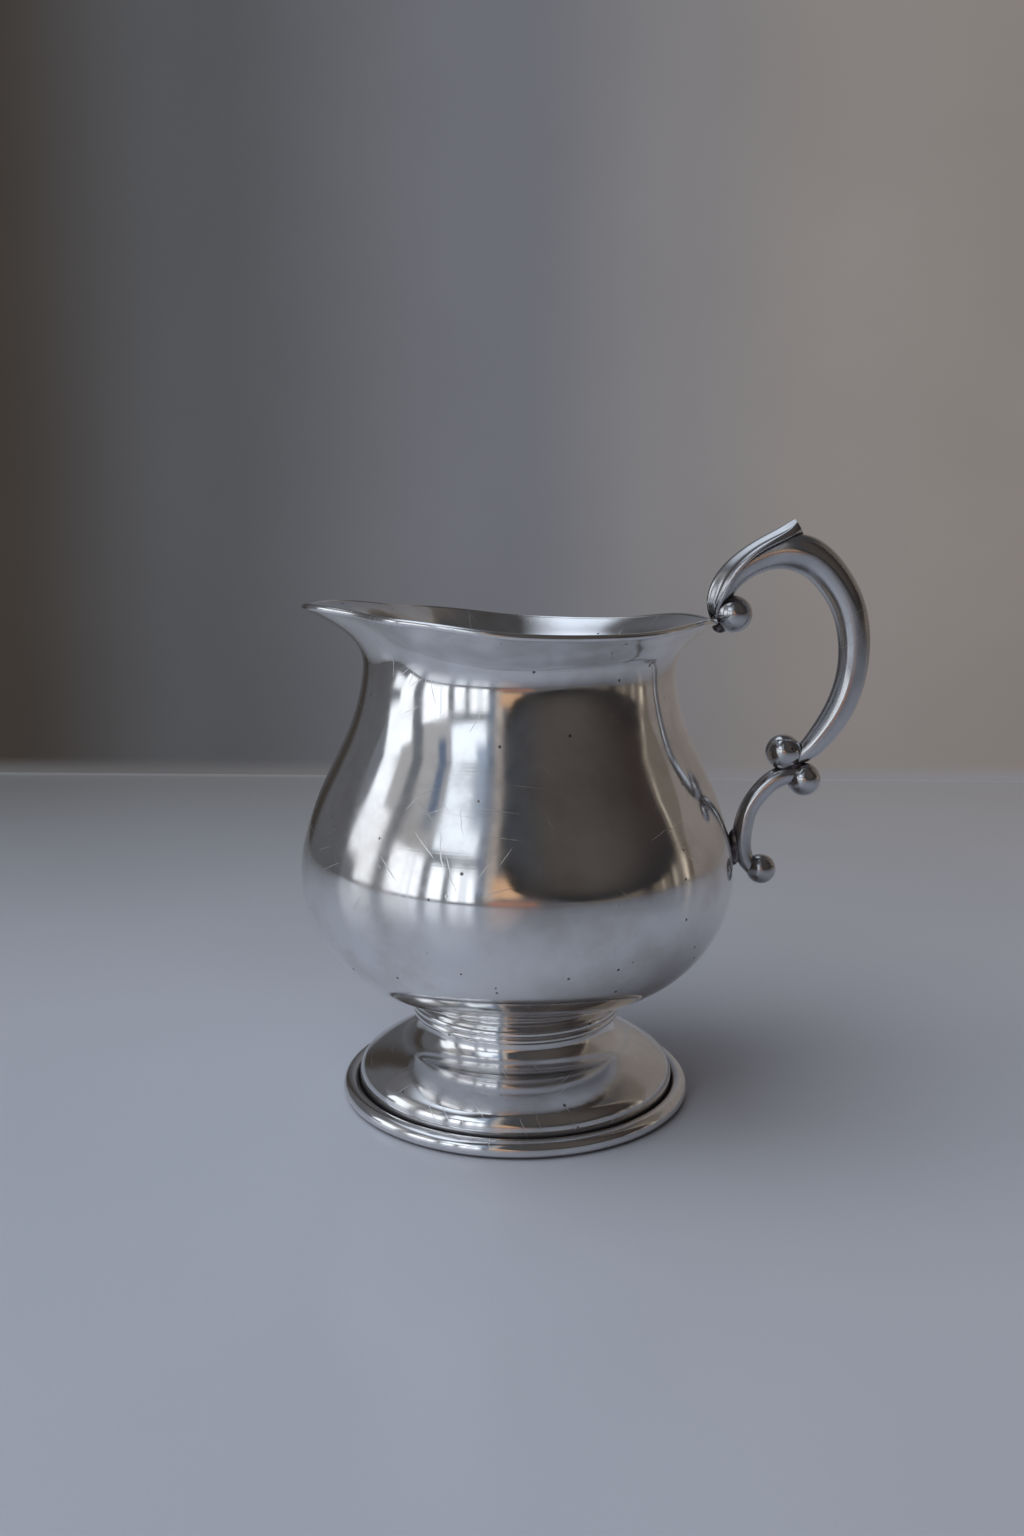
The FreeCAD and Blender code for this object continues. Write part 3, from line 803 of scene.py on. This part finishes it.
    def shell(self) -> np.ndarray:
        """Rings of the whole sheet: up the outer face, over the rim's edge and down the inner face."""
        faces = []
        for offset, step, mouth_count in ((0.0, 0.42, 44), (self.wall, 0.9, 26)):
            line = self.wall_line(offset, step)
            turned = np.repeat(line[:, None, :], self.round_count, axis=1)
            height = line[:, 1][:, None]
            wave = (np.sin(0.21 * height + np.radians(self.angles) * 3) * 0.6
                    + np.sin(0.34 * height - np.radians(self.angles) * 5 + 1.3) * 0.4) - 1.0
            still = np.clip((height - self.base_height - 3.0) / 8.0, 0.0, 1.0)
            turned[..., 0] += self.unevenness * wave * still
            top = self.mouth(line[-1], offset, mouth_count)
            fade = np.linspace(1.0, 0.0, mouth_count)[1:, None]
            top[..., 0] += self.unevenness * wave[-1] * fade
            faces.append(self.whole(np.concatenate([turned, top])))
        outer, inner = faces
        edge = [outer[-1] * (1 - share) + inner[-1] * share for share in (0.25, 0.5, 0.75)]
        return np.concatenate([outer, edge, inner[::-1]])

    def bead(self) -> np.ndarray:
        """Rings round the rounded bead of the rim, one at each angle."""
        lean = np.radians(self.between(self.flare_angle))[:, None]
        radius, height = (values[:, None] for values in self.rim())
        half_wall = self.wall / 2
        stand_off = math.sqrt(self.bead_radius**2 - half_wall**2)
        around = np.linspace(0.0, 2 * math.pi, 20, endpoint=False)
        along = stand_off + self.bead_radius * np.cos(around)
        over = half_wall + self.bead_radius * np.sin(around)
        flat_radius = radius + along * np.cos(lean) - over * np.sin(lean)
        flat_height = height + along * np.sin(lean) + over * np.cos(lean)
        turn = np.radians(self.angles)[:, None]
        return np.stack([flat_radius * np.cos(turn), flat_radius * np.sin(turn), flat_height], axis=-1)

    def build(self) -> None:
        """Make and dress the sheet and its bead."""
        plate = WornPlate("worn_plate_bowl")
        tips = np.array([[0.0, 0.0, self.base_height], [0.0, 0.0, self.base_height + self.wall]])
        settle(skin("spun_bowl", self.shell(), tips=tips), "body_shell", Slot.POLISHED, plate.material())
        rim = WornPlate("worn_plate_rim", rough_low=0.12, rough_high=0.24, spun_height=0.0)
        settle(skin("rolled_rim", self.bead(), closed=True), "rim_bead", Slot.POLISHED, rim.material())


@dataclass
class Foot:
    """Collar, reeded band, spun pedestal and rolled ring, from the bowl down, in millimetres."""

    wall: float = 0.9
    bore: float = 14.0
    collar_base: tuple[float, float] = (18.6, 16.6)
    collar_top: float = 21.4
    collar_arc: float = 4.5
    band_levels: tuple[float, float, float] = (14.0, 15.3, 16.6)
    band_radii: tuple[float, float, float] = (17.4, 18.01, 18.2)
    reed: float = 0.75
    neck: tuple[float, float] = (16.2, 12.6)
    cavetto: tuple[float, float] = (20.4, 9.3)
    cavetto_arc: float = 4.4
    dome: tuple[float, float] = (26.2, 6.2)
    dome_arc: float = 22.0
    edge: tuple[float, float] = (27.8, 3.4)
    edge_arc: float = 3.2
    edge_base: float = 1.2
    tube: float = 1.5
    tube_height: float = 1.4
    foot_radius: float = field(default_factory=lambda: float(node_box("foot_ring")[1][1]))
    round_count: int = 288

    def collar_outline(self, bowl: Bowl) -> list[Corner]:
        """The collar's section, seated on the underside of the bowl."""
        flat = bowl.belly_radius - bowl.belly_arc
        drop = math.sqrt(bowl.belly_arc**2 - (self.collar_top - flat)**2)
        under = bowl.base_height + bowl.belly_arc - drop
        return [
            (self.bore, self.collar_base[1], None),
            (*self.collar_base, (self.collar_arc, -1)),
            (self.collar_top, under, (bowl.belly_arc, -1)),
            (flat, bowl.base_height, None),
            (self.bore, bowl.base_height, None),
        ]

    def band_outline(self) -> list[Corner]:
        """The band's section, with its two half round reeds."""
        low, middle, top = zip(self.band_radii, self.band_levels)
        return [
            (self.bore, low[1], None),
            (*low, (self.reed, 1)),
            (*middle, (self.reed, 1)),
            (*top, None),
            (self.bore, top[1], None),
        ]

    def pedestal_outline(self) -> list[Corner]:
        """The pedestal's section: a hollow sheet that sweeps out from the neck and turns down."""
        half = self.wall / 2
        return [
            (self.neck[0] - self.wall, self.band_levels[0], None),
            (self.neck[0] - self.wall, self.neck[1], (self.cavetto_arc + self.wall, 1)),
            (self.cavetto[0] - half, self.cavetto[1] - self.wall, (self.dome_arc, -1)),
            (self.dome[0] - half, self.dome[1] - self.wall, (self.edge_arc - self.wall, -1)),
            (self.edge[0] - self.wall, self.edge[1], None),
            (self.edge[0] - self.wall, self.edge_base, None),
            (self.edge[0], self.edge_base, None),
            (*self.edge, (self.edge_arc, 1)),
            (*self.dome, (self.dome_arc, 1)),
            (*self.cavetto, (self.cavetto_arc, -1)),
            (*self.neck, None),
            (self.neck[0], self.band_levels[0], None),
        ]

    def ring_outline(self) -> list[Corner]:
        """The ring's section: a round tube, flat where it stands."""
        half_flat = math.sqrt(self.tube**2 - self.tube_height**2)
        middle = self.foot_radius - self.tube
        return [
            (middle - half_flat, 0.0, None),
            (middle + half_flat, 0.0, (self.tube, 1)),
            (self.foot_radius, self.tube_height, (self.tube, 1)),
            (middle, self.tube_height + self.tube, (self.tube, 1)),
            (middle - self.tube, self.tube_height, (self.tube, 1)),
        ]

    def build(self, bowl: Bowl) -> None:
        """Make and dress the four pieces.

        Args:
            bowl: The bowl that the collar is seated on.
        """
        plate = WornPlate("worn_plate_foot", tarnish_share=0.35, rough_low=0.08, rough_high=0.2).material()
        pieces = (
            ("under_collar", "foot_collar", self.collar_outline(bowl), 3),
            ("reeded_band", "neck_band", self.band_outline(), 1),
            ("spun_pedestal", "foot_pedestal", self.pedestal_outline(), 8),
            ("rolled_foot_ring", "foot_ring", self.ring_outline(), 1),
        )
        for name, node, corners, passes in pieces:
            outline = thin(soften(trace(corners), passes))
            rings = lathe(outline, self.round_count)
            settle(skin(name, rings, closed=True), node, Slot.POLISHED, plate)


@dataclass
class Handle:
    """Two cast scrolls with four balls, the thumb leaf and the solder that holds them, in millimetres.

    Each station of a scroll is x, z and thickness; each station of the leaf is x, z, full width across the
    jug, droop of its edges and thickness. A bar's end is a cap of cap_length thicknesses, and inset keeps
    the castings inside the CAD's own skin.
    """

    width_share: float = 1.04
    inset: float = 0.01
    cap_rings: int = 5
    cap_length: float = 0.4
    upper: tuple[Station, ...] = (
        (35.2, 82.2, 1.2), (33.85, 84.4, 1.9), (34.35, 87.2, 3.0), (35.85, 90.2, 3.8), (39.2, 93.1, 4.5),
        (43.2, 94.75, 5.4), (47.4, 94.85, 6.5), (50.3, 93.45, 6.4), (53.0, 90.8, 6.1), (55.5, 86.9, 5.8),
        (57.2, 80.5, 5.4), (57.0, 74.2, 5.1), (55.1, 68.2, 4.9), (52.2, 63.6, 4.3),
        (49.4, 60.6, 3.2), (47.6, 59.4, 2.0))
    lower: tuple[Station, ...] = (
        (49.3, 56.9, 3.2), (46.9, 56.9, 3.5), (44.3, 55.8, 3.5), (42.0, 53.5, 3.4), (40.3, 50.7, 3.3),
        (39.5, 47.6, 3.4), (39.4, 44.6, 3.2), (40.1, 41.9, 2.9), (41.6, 39.9, 2.6))
    leaf: tuple[Station, ...] = (
        (33.0, 82.9, 1.8, 0.5, 1.0), (32.0, 85.3, 3.4, 1.5, 1.2), (32.0, 88.0, 4.8, 2.2, 1.3),
        (33.3, 91.2, 5.8, 2.2, 1.4), (36.3, 94.5, 6.2, 1.7, 1.4), (40.2, 97.2, 6.2, 1.4, 1.5),
        (43.4, 98.9, 5.2, 1.4, 1.9), (45.2, 99.9, 3.6, 1.2, 2.4), (46.2, 100.5, 2.2, 0.8, 2.9))
    balls: tuple[tuple[str, str], ...] = (
        ("cast_volute_ball", "volute_ball"), ("cast_inner_ball", "upper_tail_ball"),
        ("cast_outer_ball", "lower_head_ball"), ("cast_tail_ball", "lower_tail_ball"))
    solders: tuple[str, ...] = ("body_solder", "rim_solder", "scroll_solder")

    def bar(self, stations: Sequence[Station], count: int, around: int = 40) -> np.ndarray:
        """Rings of a round bar bent along stations, with rounded ends.

        Args:
            stations: The bar's stations.
            count: Number of rings along it.
            around: Number of points in a ring.

        Returns:
            The rings, and their ends shrink to a blunt tip.
        """
        line = through(np.array(stations), count)
        way = ways(line[:, :2])
        cap = np.linspace(0.15, math.pi / 2, self.cap_rings + 1)[:-1]
        shrink, beyond = np.sin(cap), np.cos(cap) * self.cap_length
        share = np.concatenate([shrink, np.ones(count), shrink[::-1]])
        line, way = (np.concatenate([np.repeat(rows[:1], self.cap_rings, axis=0), rows,
                                     np.repeat(rows[-1:], self.cap_rings, axis=0)]) for rows in (line, way))
        push = np.concatenate([-beyond, np.zeros(count), beyond[::-1]]) * line[:, 2]
        middle = line[:, :2] + push[:, None] * way
        angle = np.linspace(0.0, 2 * math.pi, around, endpoint=False)
        half = ((line[:, 2] / 2 - self.inset) * share)[:, None]
        out = half * np.cos(angle)
        x = middle[:, :1] - way[:, 1:] * out
        z = middle[:, 1:] + way[:, :1] * out
        return np.stack([x, half * self.width_share * np.sin(angle), z], axis=-1)

    def leaf_rings(self, count: int = 110) -> np.ndarray:
        """Rings of the leaf: a crowned strip with drooping edges, ending in a raised blunt point."""
        line = through(np.array(self.leaf), count)
        way = ways(line[:, :2])
        half, droop, thick = line[:, 2] / 2, line[:, 3], line[:, 4]
        side = ((0.26, 0.14, 0.0), (0.6, 0.62, 0.0), (0.86, 0.74, 0.0), (1.0, 1.0, 0.2), (0.82, 1.0, 0.5))
        section = [(0.0, 0.0, 0.0), *side, (0.0, 0.3, 1.0)]
        section += [(-across, drop, deep) for across, drop, deep in reversed(side)]
        points = []
        for across, drop, deep in section:
            below = self.inset + drop * droop + deep * thick
            points.append(np.stack([line[:, 0] + way[:, 1] * below, across * half,
                                    line[:, 1] - way[:, 0] * below], axis=-1))
        return ring_curve(np.stack(points, axis=1), 5)

    def ball_rings(self, node: str, number: int) -> np.ndarray:
        """Rings of a cast ball, very slightly out of true as castings are.

        Args:
            node: The CAD node that gives its place and size.
            number: Its number, which changes how it is out of true.

        Returns:
            The rings from its lowest to its highest.
        """
        middle, half = node_box(node)
        angle = np.linspace(0.0, 2 * math.pi, 56, endpoint=False)
        lift = np.linspace(-math.pi / 2, math.pi / 2, 38)[1:-1, None]
        uneven = 1 - 0.006 * (1 + np.sin(2 * angle + number) * np.cos(3 * lift))
        radius = float(half[1]) * uneven
        level = radius * np.cos(lift)
        around = [level * np.cos(angle), level * np.sin(angle), radius * np.sin(lift)]
        return middle + np.stack(around, axis=-1)

    def build(self) -> None:
        """Make and dress the scrolls, the balls, the leaf and the solder."""
        # Painted shade: the cast plate's clean and tarnish colours are set much darker than the bowl's,
        # though both are the same silver plate, so that the handle looks dimmer.
        cast = WornPlate("worn_shaded_cast_plate", clean=(0.60, 0.60, 0.61), tarnish=(0.30, 0.285, 0.29),
                         tarnish_share=0.6, rough_low=0.12, rough_high=0.24, spun_height=0.0,
                         scratch_depth=2.0e-6, wave_height=2.5e-5, crevice_reach=0.0027).material()
        settle(skin("cast_upper_scroll", self.bar(self.upper, 180)), "upper_scroll", Slot.CAST, cast)
        settle(skin("cast_lower_scroll", self.bar(self.lower, 80)), "lower_scroll", Slot.CAST, cast)
        settle(skin("cast_thumb_leaf", self.leaf_rings()), "thumb_leaf", Slot.CAST, cast)
        for number, (name, node) in enumerate(self.balls):
            settle(skin(name, self.ball_rings(node, number)), node, Slot.CAST, cast)
        solder = DullSolder().material()
        for node in self.solders:
            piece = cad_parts[node]
            piece.data.materials.clear()
            piece.data.materials.append(solder)
            log.info("%s keeps its CAD mesh, with %s", node, solder.name)


# ---------------------------------------------------------------- studio


@dataclass(frozen=True)
class Patch:
    """A soft edged patch of the room round the jug, in degrees.

    Azimuth 0 is the way from the jug to the camera, -90 the spout's side and 90 the handle's side.
    """

    azimuth: tuple[float, float]
    elevation: tuple[float, float]
    light: Colour
    soft: tuple[float, float] = (1.0, 1.0)


@dataclass
class Room:
    """The light of the room: grey walls, tall panes at the left, open sky and a dark screen in front."""

    base: Colour = (0.13, 0.13, 0.14)
    behind_camera: Colour = (0.30, 0.30, 0.31)
    patches: tuple[Patch, ...] = (
        Patch((-112.0, -18.0), (-30.0, 60.0), (0.17, 0.18, 0.20), (3.0, 8.0)),
        Patch((91.0, 200.0), (-30.0, 60.0), (0.15, 0.13, 0.11), (2.0, 8.0)),
        Patch((-200.0, 200.0), (46.0, 91.0), (0.065, 0.064, 0.067), (1.0, 6.0)),
        Patch((-170.0, -50.0), (50.0, 80.0), (0.95, 1.05, 1.20), (12.0, 7.0)),
        Patch((-100.0, -49.0), (19.0, 38.0), (0.42, 0.42, 0.43), (2.5, 2.5)),
        Patch((-78.0, -70.0), (-1.0, 38.0), (0.15, 0.16, 0.18), (1.5, 3.0)),
        Patch((-58.0, -52.0), (27.0, 40.0), (0.12, 0.16, 0.24), (1.5, 3.0)),
        Patch((-48.0, -22.0), (22.0, 40.0), (1.15, 1.25, 1.38), (1.2, 1.5)),
        Patch((-30.0, -20.0), (32.0, 48.0), (0.38, 0.46, 0.58), (2.0, 4.0)),
        Patch((-22.0, -16.5), (6.0, 60.0), (0.16, 0.20, 0.27), (1.2, 3.0)),
        Patch((-16.5, -11.0), (2.0, 60.0), (0.45, 0.42, 0.40), (0.6, 4.0)),
        Patch((-13.2, -12.2), (16.0, 60.0), (0.62, 0.50, 0.40), (0.3, 4.0)),
        Patch((-92.0, -79.5), (1.0, 24.0), (1.25, 1.30, 1.36), (0.6, 1.2)),
        Patch((-101.5, -88.0), (8.0, 27.0), (1.20, 1.26, 1.34), (1.0, 2.0)),
        Patch((-71.0, -50.7), (0.5, 19.0), (1.35, 1.40, 1.48), (0.5, 0.9)),
        Patch((-57.0, -55.8), (-1.0, 20.0), (0.75, 0.80, 0.88), (0.3, 1.0)),
        Patch((-61.0, -60.2), (-1.0, 20.0), (0.95, 1.0, 1.05), (0.3, 1.0)),
        Patch((-46.0, -38.2), (0.5, 17.5), (1.35, 1.42, 1.52), (0.4, 0.9)),
        Patch((-35.0, -21.0), (0.5, 18.0), (0.95, 1.00, 1.08), (0.4, 0.9)),
        Patch((-33.0, -29.5), (0.5, 18.0), (1.40, 1.45, 1.52), (0.3, 0.9)),
        Patch((-25.0, -22.5), (0.5, 18.0), (1.40, 1.48, 1.58), (0.3, 0.9)),
        Patch((-14.0, 10.0), (-1.0, 2.6), (0.42, 0.20, 0.14), (2.5, 1.0)),
        Patch((-13.0, 2.0), (5.0, 16.0), (0.66, 0.42, 0.26), (2.0, 2.0)),
        Patch((34.0, 92.0), (-1.0, 12.0), (0.15, 0.125, 0.10), (8.0, 2.0)),
        Patch((66.0, 72.0), (-1.0, 14.0), (0.04, 0.032, 0.03), (1.5, 2.0)),
        Patch((78.0, 80.0), (-1.0, 40.0), (0.34, 0.29, 0.24), (0.6, 3.0)),
        Patch((84.0, 86.0), (-1.0, 40.0), (0.06, 0.045, 0.04), (0.5, 3.0)),
        Patch((87.0, 89.0), (-1.0, 30.0), (0.50, 0.44, 0.36), (0.5, 3.0)),
        Patch((92.5, 94.0), (-2.0, 60.0), (0.10, 0.075, 0.06), (0.5, 8.0)),
        Patch((94.5, 96.0), (1.0, 60.0), (0.50, 0.44, 0.36), (0.4, 8.0)),
        Patch((96.0, 97.5), (0.0, 8.0), (1.3, 1.15, 0.92), (0.4, 1.0)),
        Patch((99.0, 102.0), (0.0, 10.0), (0.10, 0.07, 0.055), (0.5, 1.5)),
        Patch((103.5, 106.5), (0.5, 8.5), (1.3, 1.15, 0.92), (0.6, 1.0)),
        Patch((108.5, 110.0), (0.0, 9.0), (0.14, 0.10, 0.08), (0.5, 1.5)),
    )
    screen_sides: tuple[float, float] = (-11.0, 92.0)
    screen_hem: tuple[tuple[float, float], ...] = (
        (-11.0, 30.0), (-8.0, 20.0), (-3.0, 12.5), (2.0, 8.5), (10.0, 4.5), (21.0, 2.2), (41.0, 0.5),
        (52.0, 1.2), (64.0, 3.0), (75.0, 5.0), (92.0, 8.0))
    screen_left: Colour = (0.055, 0.062, 0.074)
    screen_middle: Colour = (0.080, 0.070, 0.064)
    screen_right: Colour = (0.042, 0.033, 0.032)
    screen_foot: Colour = (0.024, 0.024, 0.025)

    def hem(self, graph: Graph, azimuth: Socket) -> Socket:
        """Elevation of the screen's lower edge at an azimuth."""
        low, high = self.screen_sides
        curve = graph.add("FloatCurve")
        graph.feed(curve.inputs["Value"], graph.calc(
            "DIVIDE", graph.minus(azimuth, low), high - low, clamp=True))
        points = curve.mapping.curves[0].points
        places = [((at - low) / (high - low), height / 90.0) for at, height in self.screen_hem]
        for point, place in zip((points[0], points[1]), (places[0], places[-1])):
            point.location = place
        for place in places[1:-1]:
            points.new(*place)
        curve.mapping.update()
        return graph.times(curve.outputs[0], 90.0)

    def build(self) -> None:
        """Make the world that lights the jug and is mirrored in it."""
        world = bpy.data.worlds.new("room")
        world.use_nodes = True
        bpy.context.scene.world = world
        graph = Graph(world.node_tree)
        world.node_tree.nodes.clear()
        way = graph.add("TexCoord").outputs["Generated"]
        x, y, z = graph.parts(way)
        azimuth = graph.calc("DEGREES", graph.calc("ARCTAN2", x, graph.times(y, -1.0)))
        elevation = graph.calc("DEGREES", graph.calc("ARCSINE", z))
        colour = graph.mix(0.0, self.base, self.base)
        for patch in self.patches:
            share = graph.times(graph.band(azimuth, *patch.azimuth, patch.soft[0]),
                               graph.band(elevation, *patch.elevation, patch.soft[1]))
            colour = graph.mix(share, colour, patch.light)
        rise = graph.minus(elevation, self.hem(graph, azimuth))
        above = graph.step(rise, -0.8, 0.8)
        share = graph.times(above, graph.band(azimuth, *self.screen_sides, 0.8))
        share = graph.times(share, graph.step(elevation, 55.0, 75.0, 1.0, 0.0))
        tone = graph.mix(graph.step(azimuth, -8.0, 25.0), self.screen_left, self.screen_middle)
        tone = graph.mix(graph.step(azimuth, 40.0, 85.0), tone, self.screen_right)
        tone = graph.mix(graph.step(rise, 0.0, 15.0), self.screen_foot, tone)
        colour = graph.mix(share, colour, tone)
        seen = graph.add("LightPath").outputs["Is Camera Ray"]
        colour = graph.mix(seen, colour, self.behind_camera)
        light = graph.add("Background")
        graph.feed(light.inputs["Color"], colour)
        output = graph.add("OutputWorld")
        graph.feed(output.inputs["Surface"], light.outputs[0])
        log.info("room: %d patches and a screen", len(self.patches))


@dataclass
class Studio:
    """Table, wall, soft overhead light and camera, in metres."""

    half_width: float = 1.6
    near_edge: float = -1.1
    far_edge: float = 0.330
    wall_height: float = 0.38
    cove: float = 0.003
    soft_light_place: tuple[float, float, float] = (-0.75, -0.35, 1.1)
    soft_light_size: float = 1.5
    soft_light_power: float = 8.5
    camera_place: tuple[float, float, float] = (-0.00103, -0.2161, 0.0925)
    camera_pitch: float = 9.16
    camera_roll: float = 0.45
    lens: float = 29.53

    def sheet(self, name: str, rows: np.ndarray, material: bpy.types.Material) -> None:
        """A stage surface swept straight across the scene.

        Args:
            name: Name of the stage piece.
            rows: Its (y, z) points, from its near edge to its far one.
            material: Its material.
        """
        points = [(side * self.half_width, y, z) for y, z in rows for side in (-1, 1)]
        faces = [(2 * i, 2 * i + 1, 2 * i + 3, 2 * i + 2) for i in range(len(rows) - 1)]
        mesh = bpy.data.meshes.new(name)
        mesh.from_pydata(points, [], faces)
        mesh.polygons.foreach_set("use_smooth", np.ones(len(faces), dtype=bool))
        mesh.materials.append(material)
        piece = bpy.data.objects.new(name, mesh)
        bpy.context.scene.collection.objects.link(piece)

    def build(self) -> None:
        """Make the table, the wall, the light and the camera."""
        turn = np.linspace(0.0, math.pi / 2, 9)
        bend = np.stack([self.far_edge - self.cove + self.cove * np.sin(turn),
                         self.cove - self.cove * np.cos(turn)], axis=1)
        self.sheet("table_top", np.array([[self.near_edge, 0.0], *bend[:5]]), TableTop().material())
        upright = np.array([*bend[4:], [self.far_edge, self.wall_height]])
        self.sheet("wall", upright, ShadedWall().material())
        lamp = bpy.data.lights.new("soft_overhead", "AREA")
        lamp.size = self.soft_light_size
        lamp.energy = self.soft_light_power
        lamp.color = (0.95, 0.98, 1.0)
        light = bpy.data.objects.new("soft_overhead", lamp)
        light.location = self.soft_light_place
        light.rotation_euler = (-Vector(self.soft_light_place)).to_track_quat("-Z", "Y").to_euler()
        light.visible_glossy = False
        light.visible_camera = False
        bpy.context.scene.collection.objects.link(light)
        camera_data = bpy.data.cameras.new("camera")
        camera_data.lens = self.lens
        camera_data.clip_start = 0.005
        camera = bpy.data.objects.new("camera", camera_data)
        look = Matrix.Rotation(math.radians(90.0 - self.camera_pitch), 4, "X")
        roll = Matrix.Rotation(math.radians(self.camera_roll), 4, "Z")
        camera.matrix_world = Matrix.Translation(self.camera_place) @ look @ roll
        bpy.context.scene.collection.objects.link(camera)
        bpy.context.scene.camera = camera
        bpy.context.scene.view_settings.view_transform = "Standard"


def main() -> None:
    """Build the studio and the jug."""
    logging.basicConfig(level=logging.INFO, format="%(name)s: %(message)s")
    Studio().build()
    Room().build()
    bowl = Bowl()
    bowl.build()
    Foot().build(bowl)
    Handle().build()


if __name__ == "__main__":
    main()
